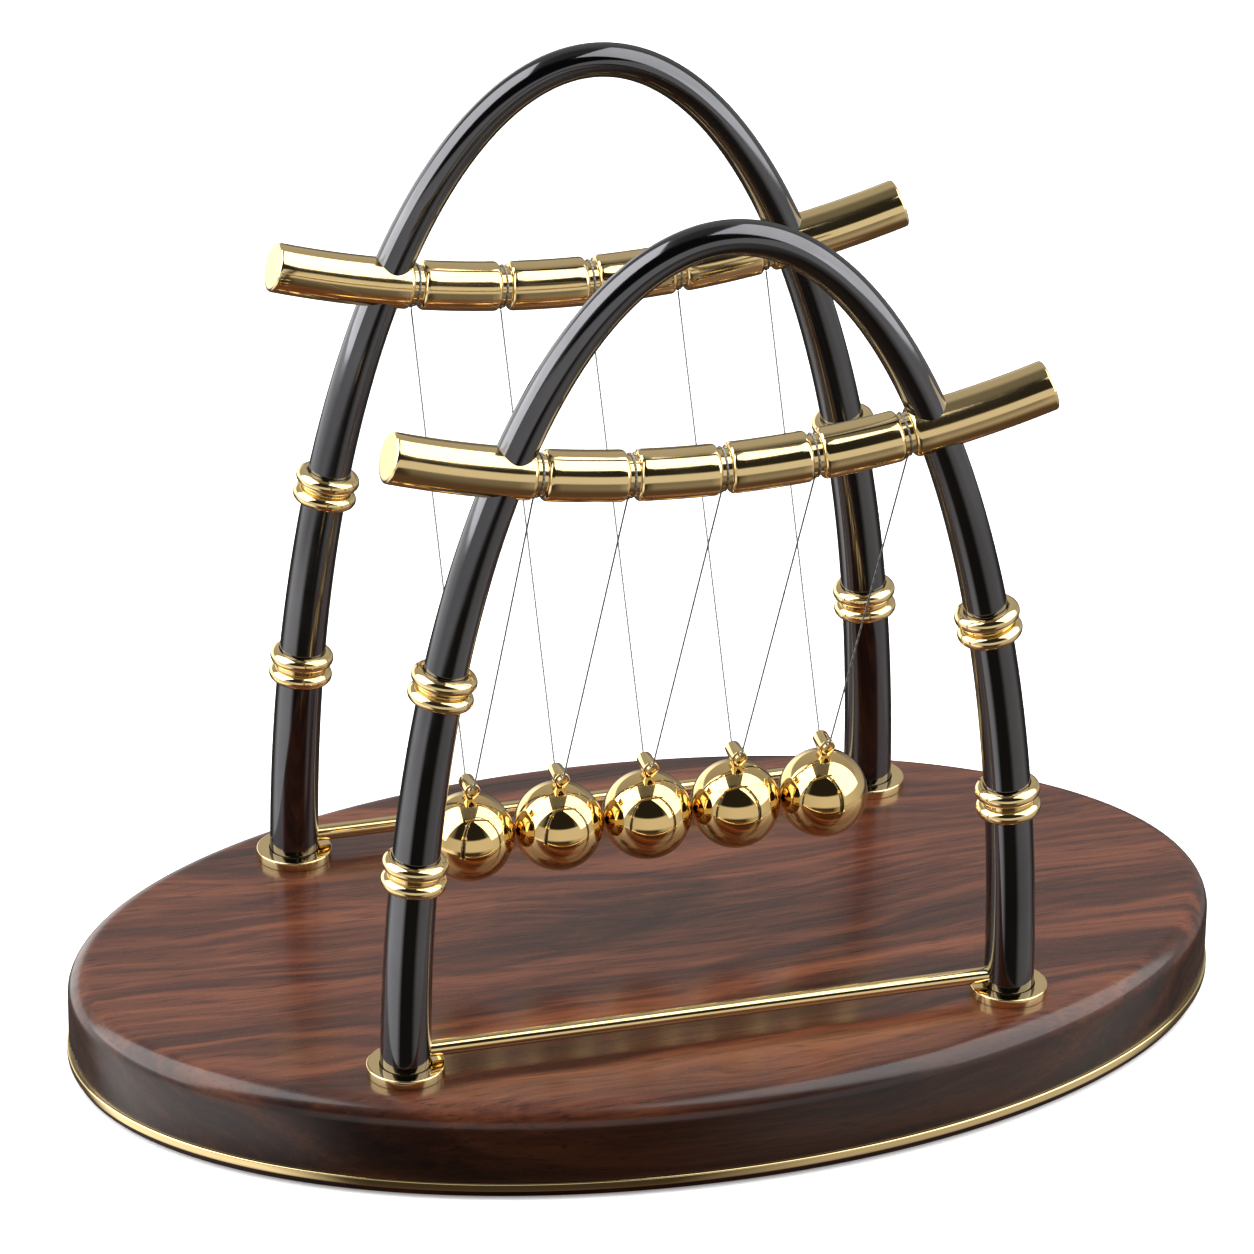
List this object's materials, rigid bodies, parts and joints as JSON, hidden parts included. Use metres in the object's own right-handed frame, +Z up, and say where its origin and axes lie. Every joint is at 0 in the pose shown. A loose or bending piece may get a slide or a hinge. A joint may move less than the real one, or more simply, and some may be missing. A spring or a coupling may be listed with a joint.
{
  "type": "newtons cradle",
  "caption": "Desk cradle on an oval wooden plinth: brass balls hang in a row on thread from two curved brass crossbars carried by tall tapered tube arches.",
  "frame": {"origin": "middle of the underside, on the surface that it stands on", "axes": "+X along the row of balls, -Y towards the front arch, +Z up"},
  "size_m": [0.2608, 0.1588, 0.2113],
  "materials": {
    "rosewood": "gloss lacquer",
    "brass": "polished",
    "ball_brass": "mirror polished",
    "gunmetal": "black nickel plate",
    "steel": "plain",
    "thread": "twisted",
    "felt": "felt"
  },
  "bodies": {
    "frame": {"back_arch_top": "gunmetal", "back_crossbar": "brass", "back_left_foot_flange": "brass", "back_left_joint_spigot": "steel", "back_left_leg": "gunmetal", "back_left_leg_plug": "steel", "back_left_lower_collar": "brass", "back_left_upper_collar": "brass", "back_rail": "brass", "back_right_foot_flange": "brass", "back_right_joint_spigot": "steel", "back_right_leg": "gunmetal", "back_right_leg_plug": "steel", "back_right_lower_collar": "brass", "back_right_upper_collar": "brass", "back_thread_loops": "thread", "base_screws": "steel", "base_washers": "steel", "brass_band": "brass", "felt_pad": "felt", "foot_plate": "rosewood", "front_arch_top": "gunmetal", "front_crossbar": "brass", "front_left_foot_flange": "brass", "front_left_joint_spigot": "steel", "front_left_leg": "gunmetal", "front_left_leg_plug": "steel", "front_left_lower_collar": "brass", "front_left_upper_collar": "brass", "front_rail": "brass", "front_right_foot_flange": "brass", "front_right_joint_spigot": "steel", "front_right_leg": "gunmetal", "front_right_leg_plug": "steel", "front_right_lower_collar": "brass", "front_right_upper_collar": "brass", "front_thread_loops": "thread", "plinth": "rosewood"},
    "hanging_ball_1": {"ball_1": "ball_brass", "eyelet_1": "brass", "thread_1": "thread"},
    "hanging_ball_2": {"ball_2": "ball_brass", "eyelet_2": "brass", "thread_2": "thread"},
    "hanging_ball_3": {"ball_3": "ball_brass", "eyelet_3": "brass", "thread_3": "thread"},
    "hanging_ball_4": {"ball_4": "ball_brass", "eyelet_4": "brass", "thread_4": "thread"},
    "hanging_ball_5": {"ball_5": "ball_brass", "eyelet_5": "brass", "thread_5": "thread"}
  },
  "joints": [
    {"name": "ball_1_swing", "type": "hinge", "parent": "frame", "child": "hanging_ball_1", "pos_m": [-0.0406, 0, 0.15383], "axis": [0, 1, 0], "range_deg": [-0.12, 45]},
    {"name": "ball_2_swing", "type": "hinge", "parent": "frame", "child": "hanging_ball_2", "pos_m": [-0.0203, 0, 0.15127], "axis": [0, 1, 0], "range_deg": [-0.12, 0.12]},
    {"name": "ball_3_swing", "type": "hinge", "parent": "frame", "child": "hanging_ball_3", "pos_m": [0, 0, 0.15042], "axis": [0, 1, 0], "range_deg": [-0.12, 0.12]},
    {"name": "ball_4_swing", "type": "hinge", "parent": "frame", "child": "hanging_ball_4", "pos_m": [0.0203, 0, 0.15127], "axis": [0, 1, 0], "range_deg": [-0.12, 0.12]},
    {"name": "ball_5_swing", "type": "hinge", "parent": "frame", "child": "hanging_ball_5", "pos_m": [0.0406, 0, 0.15383], "axis": [0, 1, 0], "range_deg": [-45, 0.12]}
  ]
}
